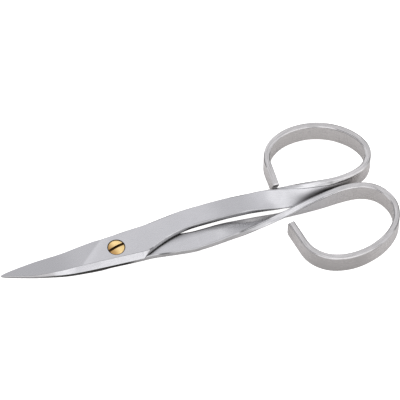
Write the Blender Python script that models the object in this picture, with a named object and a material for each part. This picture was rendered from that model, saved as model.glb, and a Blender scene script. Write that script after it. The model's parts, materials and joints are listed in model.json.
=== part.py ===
"""Nail scissors: two bent bars of flat steel, each a blade, a shank and a finger loop, on one screw.

Metres, +Z up. The shapes are drawn about the pivot: +X runs from the pivot to the finger loops, the
blades point along -X, and the upper half's handle lies on the +Y side. An empty then moves the whole
part, so that its footprint is centred on the world origin and its lowest point is at Z = 0.
"""
import math

import bmesh
import bpy
import numpy as np

# Flat bar that both halves are bent from
BAR_WIDTH = 0.0051
LOOP_BAR_WIDTH = 0.0055
BAR_THICKNESS = 0.00155
BAR_CORNER = 0.00028
RUNNING_GAP = 0.00014

# Blade, in front of the pivot
BLADE_LENGTH = 0.0289
PIVOT_HALF_WIDTH = 0.0036
BLADE_TIP_THICKNESS = 0.00028
BLADE_TAPER_START = 0.005
BLADE_BEND_START = 0.0112
BLADE_BEND_RUN = 0.0042
BLADE_BEND_ANGLE = math.radians(10.8)
BLADE_HEEL = 0.0052
CUTTING_LEAN = 0.00025
CUTTING_LAND = 0.00005
SPINE_OVERHANG = 0.00036
FACET_WIDTH = 0.00106
FACET_LAND = 0.00012
FACET_FADE_START = 0.011
FACET_FADE_LENGTH = 0.0098

# Shoulder behind the pivot, where the spine side sweeps in to the shank
SHOULDER_BACK = 0.0057
SHOULDER_HALF_WIDTH = 0.00395
SHOULDER_LEAN = 0.00015
SHANK_START = 0.0198
UPPER_SHANK_CLEARANCE = 0.0001
LOWER_SHANK_CLEARANCE = 0.0004

# Finger loops and the quarter twist before them, measured on the middle of the bar
LOOP_START = 0.0424
UPPER_LOOP_LENGTH = 0.0242
UPPER_LOOP_WIDTH = 0.0174
UPPER_LOOP_OFFSET = 0.00105
UPPER_TWIST_START = 0.0335
UPPER_TWIST_END = 0.0565
LOWER_LOOP_LENGTH = 0.0252
LOWER_LOOP_WIDTH = 0.0186
LOWER_LOOP_OFFSET = 0.0018
LOWER_TWIST_START = 0.0165
LOWER_TWIST_END = 0.0575
UPPER_END_SLANT = 0.46
LOWER_END_SLANT = 0.0
END_SLANT_RUN = 0.004
END_ROUND = 0.0007

# Pivot screw and its holes
SCREW_HEAD_DIAMETER = 0.0041
SCREW_RIM_THICKNESS = 0.0007
SCREW_DOME = 0.0003
SCREW_SUNK = 0.0001
SCREW_STEM_DIAMETER = 0.0024
SCREW_END_CHAMFER = 0.00025
SCREW_FIT = 0.00008
SLOT_WIDTH = 0.0007
SLOT_DEPTH = 0.0005
SLOT_ANGLE = math.radians(13.5)
CUT_OVERRUN = 0.001

# Blade outline, from the point to the pivot: share of the blade's length, share of the half width
BLADE_OUTLINE_SHARES = (
    (-1.0, 0.012), (-0.965, 0.11), (-0.91, 0.215), (-0.84, 0.325), (-0.70, 0.516),
    (-0.56, 0.646), (-0.42, 0.76), (-0.28, 0.862), (-0.14, 0.935), (0.0, 1.0),
)
# Loops, from the shank round to the free end: share of the loop's length, share of its width
UPPER_LOOP_SHARES = (
    (-0.26, 0.062), (0.15, 0.022), (0.40, 0.014), (0.62, 0.005), (0.80, 0.036), (0.943, 0.133),
    (1.02, 0.365), (0.95, 0.637), (0.765, 0.875), (0.54, 0.992), (0.30, 0.99), (0.11, 0.865),
    (0.01, 0.66), (0.001, 0.43), (-0.006, 0.235),
)
LOWER_LOOP_SHARES = (
    (-0.46, 0.069), (-0.12, 0.067), (0.09, 0.046), (0.39, 0.016), (0.62, -0.003), (0.80, 0.036),
    (0.938, 0.17), (1.011, 0.42), (0.957, 0.685), (0.80, 0.882), (0.59, 0.992), (0.37, 1.006),
    (0.185, 0.92), (0.062, 0.738), (0.02, 0.50), (-0.012, 0.272),
)
SHANK_STRAIGHT_SHARE = 0.35
FACET_END_SHARE = 0.05
SHOULDER_CURVE = 1.8
TWIST_SETTLING = 3.0
STATION_CROWDING = 1.15
SHOULDER_CROWDING = 1.4

BLADE_STATIONS = 34
SHOULDER_STATIONS = 18
BAR_STATIONS = 96
CURVE_SAMPLES = 12
SCREW_SIDES = 48
DOME_STEPS = 5
SMOOTH_ANGLE = math.radians(32.0)

STEEL_COLOUR = (0.62, 0.62, 0.63)
STEEL_ROUGHNESS = 0.32
BRASS_COLOUR = (0.90, 0.64, 0.30)
BRASS_ROUGHNESS = 0.25


def clear_scene():
    for old in list(bpy.data.objects):
        bpy.data.objects.remove(old, do_unlink=True)


def make_material(name, colour, roughness):
    material = bpy.data.materials.new(name)
    material.use_nodes = True
    shader = material.node_tree.nodes["Principled BSDF"]
    shader.inputs["Base Color"].default_value = (*colour, 1.0)
    shader.inputs["Metallic"].default_value = 1.0
    shader.inputs["Roughness"].default_value = roughness
    return material


def smooth_curve(points):
    """Catmull-Rom curve through the points, as a dense run of (x, y)."""
    points = np.array(points, dtype=float)
    before_first = 2.0 * points[0] - points[1]
    after_last = 2.0 * points[-1] - points[-2]
    knots = np.vstack([before_first, points, after_last])
    dense = []
    for i in range(1, len(knots) - 2):
        before, start, end, after = knots[i - 1:i + 3]
        bow = 2.0 * before - 5.0 * start + 4.0 * end - after
        swing = 3.0 * (start - end) + after - before
        for t in np.linspace(0.0, 1.0, CURVE_SAMPLES, endpoint=False):
            dense.append(0.5 * (2.0 * start + (end - before) * t + bow * t ** 2 + swing * t ** 3))
    dense.append(knots[-2])
    return np.array(dense)


def arc_lengths(points):
    steps = np.linalg.norm(np.diff(points, axis=0), axis=1)
    return np.concatenate([[0.0], np.cumsum(steps)])


def part_way(value, start, end):
    """0 up to start, 1 from end on, and in proportion between them."""
    return min(max((value - start) / (end - start), 0.0), 1.0)


def ease(value, start, end):
    t = part_way(value, start, end)
    return t * t * (3.0 - 2.0 * t)


def mix(first, second, amount):
    return [a + (b - a) * amount for a, b in zip(first, second)]


def blade_rise(x, y):
    """Height of the curved blades. It depends only on the distance from the pivot, so the two
    blades lie on each other at every opening."""
    past = math.hypot(x, y) - BLADE_BEND_START
    if x >= 0.0 or past <= 0.0:
        return 0.0
    slope = math.tan(BLADE_BEND_ANGLE)
    if past < BLADE_BEND_RUN:
        return 0.5 * slope * past * past / BLADE_BEND_RUN
    return slope * (past - 0.5 * BLADE_BEND_RUN)


def cross_section(outer, inner, base, thickness, outer_side, inner_side):
    """Eight corners as (across, height), from the handle side over the face to the spine side.
    A side is its lower corner, the height of its wall, and how far in the wall and the face end."""
    low_out, wall_out, wall_in_by, face_out_by = outer_side
    low_in, wall_in, spine_in_by, face_in_by = inner_side
    return [
        (outer, base + low_out),
        (outer - wall_in_by, base + wall_out),
        (outer - face_out_by, base + thickness),
        (inner + face_in_by, base + thickness),
        (inner + spine_in_by, base + wall_in),
        (inner, base + low_in),
        (inner + low_in, base),
        (outer - low_out, base),
    ]


def bar_side():
    """Plain side of the bar: a square wall between two small corners."""
    return [BAR_CORNER, BAR_THICKNESS - BAR_CORNER, 0.0, BAR_CORNER]


def blade_section(x, outline):
    """Cross-section between the point of the blade and the shoulder. One side has the leaning
    cutting edge, the other the spine with its broad facet."""
    thickness = BAR_THICKNESS + (BLADE_TIP_THICKNESS - BAR_THICKNESS) * part_way(
        -x, BLADE_TAPER_START, BLADE_LENGTH)
    share = np.interp(x / BLADE_LENGTH, outline[:, 0], outline[:, 1])
    face = PIVOT_HALF_WIDTH * share
    face += (SHOULDER_HALF_WIDTH - PIVOT_HALF_WIDTH) * part_way(x, 0.0, SHOULDER_BACK)
    heel = ease(x, -BLADE_HEEL, -0.5 * BLADE_HEEL)
    lean = CUTTING_LEAN * share
    wall = thickness - CUTTING_LAND
    cutting = [CUTTING_LAND, wall, lean * wall / thickness, lean + CUTTING_LAND * share]
    fade = part_way(-x, FACET_FADE_START, FACET_FADE_START + FACET_FADE_LENGTH)
    facet = FACET_WIDTH * (1.0 - (1.0 - FACET_END_SHARE * share) * fade)
    spine = [CUTTING_LAND, FACET_LAND * thickness / BAR_THICKNESS, 0.0, facet]
    outer = face + lean * (1.0 - heel)
    inner = -face - SPINE_OVERHANG * share
    return cross_section(outer, inner, 0.5 * RUNNING_GAP, thickness,
                         mix(cutting, bar_side(), heel), spine)


def shoulder_section(x, clearance):
    """Cross-section behind the shoulder, where the spine side sweeps in to the shank. Its wall cuts
    through the facet, and is as high as the facet there until it has passed it."""
    shank_edge = clearance + BAR_WIDTH
    outer = SHOULDER_HALF_WIDTH + (shank_edge - SHOULDER_HALF_WIDTH) * ease(
        x, SHOULDER_BACK, SHANK_START)
    left = 1.0 - part_way(x, SHOULDER_BACK, SHANK_START)
    spine = SHOULDER_HALF_WIDTH + SPINE_OVERHANG
    inner = clearance - (spine + clearance) * left ** SHOULDER_CURVE
    swept_in = inner + spine
    passed = min(swept_in / FACET_WIDTH, 1.0)
    low = CUTTING_LAND + (BAR_CORNER - CUTTING_LAND) * passed
    wall = FACET_LAND + (BAR_THICKNESS - FACET_LAND) * passed
    lean = SHOULDER_LEAN * left * passed
    swept = [low, min(wall, BAR_THICKNESS - BAR_CORNER), lean,
             max(FACET_WIDTH - swept_in, BAR_CORNER + lean)]
    return cross_section(outer, inner, 0.5 * RUNNING_GAP, BAR_THICKNESS, bar_side(), swept)


def bar_path(clearance, length, width, offset, shares):
    """Middle of the bar in plan, from the shank's start to the loop's free end."""
    middle = clearance + 0.5 * BAR_WIDTH
    straight = SHANK_START + SHANK_STRAIGHT_SHARE * (LOOP_START - SHANK_START)
    points = [(SHANK_START, middle), (straight, middle)]
    for along, across in shares:
        points.append((LOOP_START + along * length, offset + across * width))
    dense = smooth_curve(points)
    arcs = arc_lengths(dense)
    spots = np.linspace(0.0, arcs[-1], BAR_STATIONS + 1)
    return np.column_stack([np.interp(spots, arcs, dense[:, axis]) for axis in range(2)])


def bar_corners(path, face, twist_start, twist_end, end_slant):
    """Cross-sections of shank and loop. The bar turns a quarter about its own length, so that its
    outer edge faces up in the loop and its underside faces into the loop. The slant of the free end
    is how far its top stands on, for each length of height."""
    arcs = arc_lengths(path)
    heading = np.gradient(path, arcs, axis=0)
    heading /= np.linalg.norm(heading, axis=1)[:, None]
    lift = 0.5 * (RUNNING_GAP + BAR_THICKNESS)
    sections = []
    for spot, direction, arc in zip(path, heading, arcs):
        turned = ease(SHANK_START + arc, twist_start, twist_end)
        angle = 0.5 * math.pi * turned
        to_end = min(arcs[-1] - arc, END_ROUND)
        trim = END_ROUND - math.sqrt(END_ROUND ** 2 - (END_ROUND - to_end) ** 2)
        half = 0.5 * (BAR_WIDTH + (LOOP_BAR_WIDTH - BAR_WIDTH) * turned) - trim
        slant = end_slant * ease(arc, arcs[-1] - END_SLANT_RUN, arcs[-1])
        flat = cross_section(half, -half, -0.5 * BAR_THICKNESS, BAR_THICKNESS, bar_side(), bar_side())
        corners = []
        for across, height in flat:
            side = across * math.cos(angle) - face * height * math.sin(angle)
            up = across * math.sin(angle) + face * height * math.cos(angle)
            forward = slant * across
            corners.append((spot[0] + direction[0] * forward - direction[1] * side,
                            spot[1] + direction[1] * forward + direction[0] * side,
                            face * lift * (1.0 - turned) ** TWIST_SETTLING + up))
        sections.append(corners)
    return sections


def half_sections(face, clearance, loop, twist):
    """All cross-sections of one half, from the point of its blade to the loop's free end. Face is
    1 for the upper half, and -1 for the lower half, whose outer face looks down. The clearance is
    that of the shank from the middle line."""
    outline = smooth_curve(BLADE_OUTLINE_SHARES)
    sections = []
    for i in range(BLADE_STATIONS + 1):
        x = (BLADE_LENGTH + SHOULDER_BACK) * (i / BLADE_STATIONS) ** STATION_CROWDING - BLADE_LENGTH
        section = blade_section(x, outline)
        sections.append([(x, y, face * z + blade_rise(x, y)) for y, z in section])
    for i in range(1, SHOULDER_STATIONS):
        share = (i / SHOULDER_STATIONS) ** SHOULDER_CROWDING
        x = SHOULDER_BACK + (SHANK_START - SHOULDER_BACK) * share
        sections.append([(x, y, face * z) for y, z in shoulder_section(x, clearance)])
    return sections + bar_corners(bar_path(clearance, *loop), face, *twist)


def finish_object(name, shape, material):
    bmesh.ops.recalc_face_normals(shape, faces=shape.faces)
    mesh = bpy.data.meshes.new(name)
    shape.to_mesh(mesh)
    shape.free()
    mesh.materials.append(material)
    mesh.shade_smooth()
    mesh.set_sharp_from_angle(angle=SMOOTH_ANGLE)
    made = bpy.data.objects.new(name, mesh)
    bpy.context.scene.collection.objects.link(made)
    return made


def make_half(name, face, clearance, loop, twist, material):
    """Closed skin over the cross-sections. The lower half is mirrored in plan."""
    shape = bmesh.new()
    rings = []
    for corners in half_sections(face, clearance, loop, twist):
        rings.append([shape.verts.new((x, face * y, z)) for x, y, z in corners])
    for ring, following in zip(rings, rings[1:]):
        for i in range(len(ring)):
            shape.faces.new((ring[i - 1], ring[i], following[i], following[i - 1]))
    shape.faces.new(rings[0])
    shape.faces.new(rings[-1])
    return finish_object(name, shape, material)


def make_turned(name, profile, material):
    """Solid of revolution about Z. The profile starts and ends on the axis."""
    shape = bmesh.new()
    start = shape.verts.new((0.0, 0.0, profile[0][1]))
    end = shape.verts.new((0.0, 0.0, profile[-1][1]))
    rings = []
    for radius, height in profile[1:-1]:
        ring = []
        for i in range(SCREW_SIDES):
            angle = 2.0 * math.pi * i / SCREW_SIDES
            ring.append(shape.verts.new((radius * math.cos(angle), radius * math.sin(angle), height)))
        rings.append(ring)
    for i in range(SCREW_SIDES):
        shape.faces.new((start, rings[0][i - 1], rings[0][i]))
        shape.faces.new((end, rings[-1][i - 1], rings[-1][i]))
        for ring, following in zip(rings, rings[1:]):
            shape.faces.new((ring[i - 1], ring[i], following[i], following[i - 1]))
    return finish_object(name, shape, material)


def cut(target, cutter):
    """Takes the cutter out of the target, and keeps it only as a guide."""
    cutter.hide_render = True
    cutter.display_type = 'WIRE'
    modifier = target.modifiers.new("Cut " + cutter.name, 'BOOLEAN')
    modifier.operation = 'DIFFERENCE'
    modifier.solver = 'EXACT'
    modifier.object = cutter


def make_screw(face_height, material):
    """Slotted screw with a low domed head, sunk in the upper half and screwed into the lower."""
    rim = face_height - SCREW_SUNK
    head = 0.5 * SCREW_HEAD_DIAMETER
    stem = 0.5 * SCREW_STEM_DIAMETER
    profile = [
        (0.0, -face_height),
        (stem - SCREW_END_CHAMFER, -face_height),
        (stem, SCREW_END_CHAMFER - face_height),
        (stem, rim - SCREW_RIM_THICKNESS),
        (head, rim - SCREW_RIM_THICKNESS),
        (head, rim),
    ]
    for i in range(1, DOME_STEPS):
        share = i / DOME_STEPS
        profile.append((head * (1.0 - share), rim + SCREW_DOME * (1.0 - (1.0 - share) ** 2)))
    profile.append((0.0, rim + SCREW_DOME))
    screw = make_turned("pivot_screw", profile, material)
    shape = bmesh.new()
    bmesh.ops.create_cube(shape, size=1.0)
    slot = finish_object("screw_slot_guide", shape, material)
    height = SLOT_DEPTH + CUT_OVERRUN
    slot.scale = (SCREW_HEAD_DIAMETER + CUT_OVERRUN, SLOT_WIDTH, height)
    slot.location = (0.0, 0.0, rim + SCREW_DOME - SLOT_DEPTH + 0.5 * height)
    slot.rotation_euler = (0.0, 0.0, SLOT_ANGLE)
    cut(screw, slot)
    return screw, slot


def make_bore(name, radius, bottom, top, material):
    return make_turned(name, [(0.0, bottom), (radius, bottom), (radius, top), (0.0, top)], material)


def build():
    clear_scene()
    steel = make_material("satin_steel", STEEL_COLOUR, STEEL_ROUGHNESS)
    brass = make_material("brass", BRASS_COLOUR, BRASS_ROUGHNESS)
    face_height = 0.5 * RUNNING_GAP + BAR_THICKNESS
    upper = make_half(
        "upper_half", 1, UPPER_SHANK_CLEARANCE,
        (UPPER_LOOP_LENGTH, UPPER_LOOP_WIDTH, UPPER_LOOP_OFFSET, UPPER_LOOP_SHARES),
        (UPPER_TWIST_START, UPPER_TWIST_END, UPPER_END_SLANT), steel)
    lower = make_half(
        "lower_half", -1, LOWER_SHANK_CLEARANCE,
        (LOWER_LOOP_LENGTH, LOWER_LOOP_WIDTH, LOWER_LOOP_OFFSET, LOWER_LOOP_SHARES),
        (LOWER_TWIST_START, LOWER_TWIST_END, LOWER_END_SLANT), steel)
    screw, slot = make_screw(face_height, brass)
    through = make_bore("stem_bore_guide", 0.5 * SCREW_STEM_DIAMETER + SCREW_FIT,
                        -face_height - CUT_OVERRUN, face_height + CUT_OVERRUN, steel)
    seat = face_height - SCREW_SUNK - SCREW_RIM_THICKNESS - SCREW_FIT
    recess = make_bore("head_recess_guide", 0.5 * SCREW_HEAD_DIAMETER + SCREW_FIT,
                       seat, face_height + CUT_OVERRUN, steel)
    cut(upper, through)
    cut(upper, recess)
    cut(lower, through)
    carrier = bpy.data.objects.new("scissors_place", None)
    bpy.context.scene.collection.objects.link(carrier)
    for piece in (upper, lower, screw, slot, through, recess):
        piece.parent = carrier
    points = np.array([tuple(v.co) for half in (upper, lower) for v in half.data.vertices])
    low = points.min(axis=0)
    high = points.max(axis=0)
    carrier.location = (-0.5 * (low[0] + high[0]), -0.5 * (low[1] + high[1]), -low[2])
    print("pivot in world", [round(v, 6) for v in carrier.location])
    print("size", [round(float(v), 6) for v in high - low])


if __name__ == "__main__":
    build()
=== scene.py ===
"""Nail scissors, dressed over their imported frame: two bent steel halves and the brass screw that
they turn on.

Metres, +Z up, in the frame's own coordinates. The halves are drawn about the pivot, with +X from
the pivot to the finger loops, and are then carried to the frame's pivot.
"""
import json
import math

import bmesh
import bpy
import numpy as np
from mathutils import Matrix, Vector, noise
from mathutils.kdtree import KDTree


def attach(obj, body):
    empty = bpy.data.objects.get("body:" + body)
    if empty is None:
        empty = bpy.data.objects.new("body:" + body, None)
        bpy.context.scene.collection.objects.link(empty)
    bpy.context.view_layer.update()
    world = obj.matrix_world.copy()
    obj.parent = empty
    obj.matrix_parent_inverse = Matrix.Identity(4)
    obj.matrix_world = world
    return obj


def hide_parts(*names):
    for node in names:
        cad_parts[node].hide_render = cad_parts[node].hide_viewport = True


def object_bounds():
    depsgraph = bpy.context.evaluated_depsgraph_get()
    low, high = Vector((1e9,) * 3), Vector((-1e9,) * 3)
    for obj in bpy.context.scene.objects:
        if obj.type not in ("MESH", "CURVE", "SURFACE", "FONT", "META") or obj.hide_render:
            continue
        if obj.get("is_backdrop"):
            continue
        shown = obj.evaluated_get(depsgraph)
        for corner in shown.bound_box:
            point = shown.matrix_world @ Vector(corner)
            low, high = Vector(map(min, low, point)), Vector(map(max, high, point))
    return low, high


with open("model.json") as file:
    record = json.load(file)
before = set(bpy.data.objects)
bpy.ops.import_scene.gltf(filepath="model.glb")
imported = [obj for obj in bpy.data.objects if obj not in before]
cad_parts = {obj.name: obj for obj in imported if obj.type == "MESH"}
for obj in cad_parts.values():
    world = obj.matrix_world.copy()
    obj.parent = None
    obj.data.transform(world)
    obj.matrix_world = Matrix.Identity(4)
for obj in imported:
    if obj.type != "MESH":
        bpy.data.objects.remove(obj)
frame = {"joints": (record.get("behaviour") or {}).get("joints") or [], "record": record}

bl_info = {
    "name": "Nail Scissors",
    "version": (1, 0, 0),
    "blender": (4, 5, 0),
    "location": "3D View > Sidebar > Scissors",
    "description": "Makes the steel halves and the brass screw of a pair of nail scissors",
    "category": "Add Mesh",
}

CAD_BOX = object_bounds()
PIVOT = Vector(frame["joints"][0]["pos_m"])
SLOT_COLOURS = {m["slot"]: m["base_color"] for m in frame["record"]["materials"]}

# Blade outline, from the point to the pivot: share of the blade's length, share of the half width
BLADE_OUTLINE_SHARES = (
    (-1.0, 0.012), (-0.965, 0.11), (-0.91, 0.215), (-0.84, 0.325), (-0.70, 0.516),
    (-0.56, 0.646), (-0.42, 0.76), (-0.28, 0.862), (-0.14, 0.935), (0.0, 1.0),
)
# Loops, from the shank round to the free end: share of the loop's length, share of its width
UPPER_LOOP_SHARES = (
    (-0.26, 0.062), (0.15, 0.022), (0.40, 0.014), (0.62, 0.005), (0.80, 0.036), (0.943, 0.133),
    (1.02, 0.365), (0.95, 0.637), (0.765, 0.875), (0.54, 0.992), (0.30, 0.99), (0.11, 0.865),
    (0.01, 0.66), (0.001, 0.43), (-0.006, 0.235),
)
LOWER_LOOP_SHARES = (
    (-0.46, 0.069), (-0.12, 0.067), (0.09, 0.046), (0.39, 0.016), (0.62, -0.003), (0.80, 0.036),
    (0.938, 0.17), (1.011, 0.42), (0.957, 0.685), (0.80, 0.882), (0.59, 0.992), (0.37, 1.006),
    (0.185, 0.92), (0.062, 0.738), (0.02, 0.50), (-0.012, 0.272),
)
LOOP_START = 0.0424
SHANK_STRAIGHT_SHARE = 0.35
FACET_END_SHARE = 0.05
SHOULDER_CURVE = 1.8
TWIST_SETTLING = 3.0
STATION_CROWDING = 1.15
SHOULDER_CROWDING = 1.4
# The lower half's loop, where it isn't like the upper one's
LOWER_LOOP = {
    "length": 0.0252, "width": 0.0186, "offset": 0.0018, "twist_start": 0.0165,
    "clearance": 0.0004, "twist_end": 0.0575, "end_slant": 0.0, "bow": 0.0,
}

# How finely the meshes are made
BLADE_STATIONS = 150
SHOULDER_STATIONS = 70
BAR_STATIONS = 330
CURVE_SAMPLES = 24
FACE_STEPS = 10
CORNER_STEPS = 5
WALL_STEPS = 2
SCREW_SIDES = 96
ROUNDING_STEPS = 8
DOME_STEPS = 14
SMOOTHING_REACH = 8
SMOOTHING_SPREAD = 0.45
SAME_POINT = 1e-7
SMOOTH_ANGLE = math.radians(30.0)

# How far a corner bulges between a flat chamfer, 0, and a square corner, 1. It starts to look worn
# over one stretch of that, and the spine's corner gets round again as its sweep passes the facet.
CHAMFERED, EASED, ROUND = 0.0, 0.6, 0.9
BULGE_LOST_IN_TWIST = 0.8
WORN_BULGES = (0.1, 0.3)
SHOULDER_ROUNDS = (0.8, 1.0)
# How much the corners and the facet waver, how long the waves are, and which wave each takes
CORNER_WAVER, CORNER_WAVE = 0.22, 0.004
FACET_WAVER, FACET_WAVE = 0.025, 0.006
OUTER_ROW, INNER_ROW, FACET_ROW = 1, 2, 5

# Patches along a half, most of them painted shade: how deep each is, and the stretches over which
# it comes in and goes out, as distances from the pivot
# Painted shade on the walls of the blades, where they would reflect the shadow under the scissors:
# deepest towards the point, and lifted on the spine's wall behind the pivot
POINT_SHADE_LEAST = 0.3
POINT_SHADE = (0.7, (-0.023, -0.013), None)
CUTTING_SIDE_SHADE = (1.0, None, (0.0015, 0.005))
SPINE_SIDE_SHADE = (1.0, None, (0.022, 0.032))
SPINE_WALL_SHADE_LIFTED = (0.94, (0.002, 0.010), None)
# Painted shade on the lower half's outer wall, the front of the blade's face, the upper shank
# before the twist, the upper half's inner corner and the inside of the lower loop
LOWER_WALL_SHADE = (0.2, None, (0.030, 0.038))
BLADE_FACE_SHADE = (0.08, None, (-0.014, -0.008))
UPPER_SHANK_SHADE = (0.15, (0.022, 0.030), (0.032, 0.038))
UPPER_CORNER_SHADE = (0.3, (0.014, 0.022), (0.029, 0.037))
LOWER_LOOP_SHADE = (0.25, (0.084, 0.092), (0.100, 0.108))
# Painted shadow where the halves lie against each other: on the lower shank beside the upper one,
# and on the upper half's twist, where it would reflect the dark gap by the lower loop
LOWER_LAP_SHADOW = (0.38, (0.002, 0.014), (0.035, 0.044))
UPPER_LAP_SHADOW = (1.0, (0.0425, 0.0500), (0.0565, 0.0620))
UPPER_LAP_SHADOW_LEAST = 0.84
UPPER_LAP_SHADOW_DEEPENS = (0.15, (0.051, 0.056), None)
UPPER_LAP_SHADOW_NARROWS = (0.0016, (0.048, 0.055), None)
LOWER_CORNER_CLEAN = (1.0, (0.008, 0.014), (0.026, 0.032))
UPPER_CORNER_CLEAN = (1.0, (0.006, 0.009), (0.048, 0.054))
UPPER_END_CLEAN = (1.0, (0.102, 0.106), None)
TWIST_WORKED = (1.0, (0.036, 0.046), (0.052, 0.066))
TWIST_CROWNED = (1.0, (0.0395, 0.049), (0.056, 0.068))
# Where a flat's painted shadow towards the other half starts, across the bar, and where it is
# darkest
UPPER_LAP_SHADOW_EDGE = (-0.0018, 0.0014)
LOWER_LAP_SHADOW_EDGE = (0.0007, 0.0025)
# Painted shade: a dark line along the top of the facet, and a darker free end of each loop
FACET_LINE_SHADE = 0.7
FREE_END_SHADE = 0.6

# Sides of a cross-section, from the handle side over the face to the spine side. The inner corner
# is the facet on the blade, and a foot is a corner next to the underside.
(OUTER_WALL, OUTER_CORNER, FLAT, INNER_CORNER,
 INNER_WALL, INNER_FOOT, UNDERSIDE, OUTER_FOOT) = range(8)
# Slots of the steel materials on each half, and of the brass ones on the screw
FACE, FACET, EDGE, BORE = range(4)
TURNED, SLOT = range(2)


def length(name, default, description):
    """A size in metres that the panel shows."""
    return bpy.props.FloatProperty(
        name=name, default=default, min=0.0, description=description, unit='LENGTH', precision=5)


def turn(name, default, description):
    """An angle that the panel shows in degrees."""
    return bpy.props.FloatProperty(
        name=name, default=math.radians(default), description=description, subtype='ANGLE')


def colour(name, default, description):
    """A colour that the panel shows."""
    return bpy.props.FloatVectorProperty(
        name=name, default=default, description=description, subtype='COLOR', min=0.0, max=1.0)


def amount(name, default, description):
    """A plain number that the panel shows."""
    return bpy.props.FloatProperty(name=name, default=default, description=description)


class ScissorsBar(bpy.types.PropertyGroup):
    """Flat bar that both halves are bent from."""
    width: length("Bar width", 0.0051, "Width of the bar in the shank")
    loop_width: length("Loop bar width", 0.0055, "Width of the bar in the finger loops")
    thickness: length("Bar thickness", 0.00155, "Thickness of the bar")
    corner: length("Bar corner", 0.00028, "How far the broken corners of the bar reach")
    gap: length("Running gap", 0.00014, "Gap between the two halves")
    end_round: length("End rounding", 0.0007, "Rounding of the bar's free ends")
    softening: length("Twist softening", 0.00045, "How much wider the upper corner is in the twist")
    slant_run: length("Slant run", 0.004, "Length of bar over which a slanted end slants")


class ScissorsBlade(bpy.types.PropertyGroup):
    """Blade and shoulder."""
    length: length("Blade length", 0.0289, "From the pivot to the point")
    half_width: length("Half width", 0.0036, "Half the width of the blade at the pivot")
    tip_thickness: length("Point thickness", 0.00028, "Thickness at the point")
    taper_start: length("Taper start", 0.005, "Where the blade starts to thin, from the pivot")
    bend_start: length("Bend start", 0.0112, "Where the blade starts to curve up, from the pivot")
    bend_run: length("Bend run", 0.0042, "Length of the curve")
    bend_angle: turn("Bend angle", 10.8, "How steeply the blade rises past the curve")
    heel: length("Heel", 0.0052, "Where the cutting edge runs out, in front of the pivot")
    lean: length("Edge lean", 0.00025, "How far the cutting side leans in")
    land: length("Edge land", 0.00005, "Flat left along the cutting edge")
    overhang: length("Spine overhang", 0.00036, "How far the spine stands past the face")
    facet_width: length("Facet width", 0.00106, "Width in plan of the facet along the spine")
    facet_land: length("Facet land", 0.00012, "Wall left under the facet")
    fade_start: length("Facet fade start", 0.011, "Where the facet starts to narrow")
    fade_length: length("Facet fade length", 0.0098, "Length over which the facet narrows")
    shoulder_back: length("Shoulder", 0.0057, "Distance of the shoulder behind the pivot")
    shoulder_half_width: length("Shoulder half width", 0.00395, "Half the width at the shoulder")
    shoulder_lean: length("Shoulder lean", 0.00015, "How far the swept side leans in at the top")
    shank_start: length("Shank start", 0.0198, "Where the shank starts, behind the pivot")


class ScissorsLoop(bpy.types.PropertyGroup):
    """Shank, quarter twist and finger loop. The loop is measured on the middle of the bar."""
    clearance: length("Shank clearance", 0.0001, "Distance from the shank to the middle line")
    length: length("Loop length", 0.0242, "Length of the loop")
    width: length("Loop width", 0.0174, "Width of the loop")
    offset: length("Loop offset", 0.00105, "Distance from the loop's near side to the middle line")
    twist_start: length("Twist start", 0.0335, "Where the bar starts to twist, from the pivot")
    twist_end: length("Twist end", 0.0565, "Where the twist is done, from the pivot")
    bow: amount("Crown bow", 56.0, "Bow of the crowned flats in the twist, per metre")
    end_slant: amount("End slant", 0.46, "How far the top of the free end stands on, for each "
                      "length of height")


class ScissorsScrew(bpy.types.PropertyGroup):
    """Pivot screw and its seat."""
    head: length("Head diameter", 0.0041, "Diameter of the head")
    rim: length("Rim thickness", 0.0007, "Height of the head's cylinder")
    dome: length("Dome height", 0.0003, "Height of the dome over the rim")
    sunk: length("Sunk depth", 0.0001, "Depth of the rim under the blade's face")
    stem: length("Stem diameter", 0.0024, "Diameter of the stem")
    fit: length("Fit", 0.00008, "Gap around the stem and the head")
    edge: length("Rim rounding", 0.00014, "Rounding of the head's edge")
    slot_width: length("Slot width", 0.0007, "Width of the screwdriver slot")
    slot_depth: length("Slot depth", 0.0005, "Depth of the screwdriver slot")
    slot_angle: turn("Slot angle", 13.5, "Direction of the slot from the X axis")


class ScissorsFinish(bpy.types.PropertyGroup):
    """Colours of the finishes."""
    steel: colour("Steel", SLOT_COLOURS["steel"], "Satin steel of the flat faces")
    # The facet's colour is also that of the painted highlight across the blade's face where it
    # starts to bend
    facet: colour("Ground facet", (0.70, 0.70, 0.71), "Bright ground facet along the spine")
    edge: colour("Brushed edge", (0.69, 0.69, 0.695), "Brushed edges of the bar")
    # Near-black painted shade, laid where the steel would reflect shadow or lie in it, and in the
    # bores and the head's seat
    painted_shade: colour("Raw edge", (0.022, 0.02, 0.018), "Dark unpolished edges of the blades")
    worn: colour("Worn corner", (0.86, 0.86, 0.87), "Corners that handling has polished")
    brass: colour("Brass", (1.0, 0.74, 0.34), "Brass of the screw")
    # Dark brass: stains of real tarnish, painted shade round the head's rim and down one side of
    # it, and the brown spots in the slot
    tarnish_and_shade: colour("Tarnished brass", (0.36, 0.18, 0.05), "Brass that has darkened in the corners")
    floor: colour("Floor", (0.73, 0.715, 0.70), "Paper under the scissors")
    glow: amount("Floor glow", 0.10, "How much the paper glows, as on a light table")
    overexposure: amount("Floor overexposure", 0.8, "How much brighter the camera sees the paper")


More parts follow.
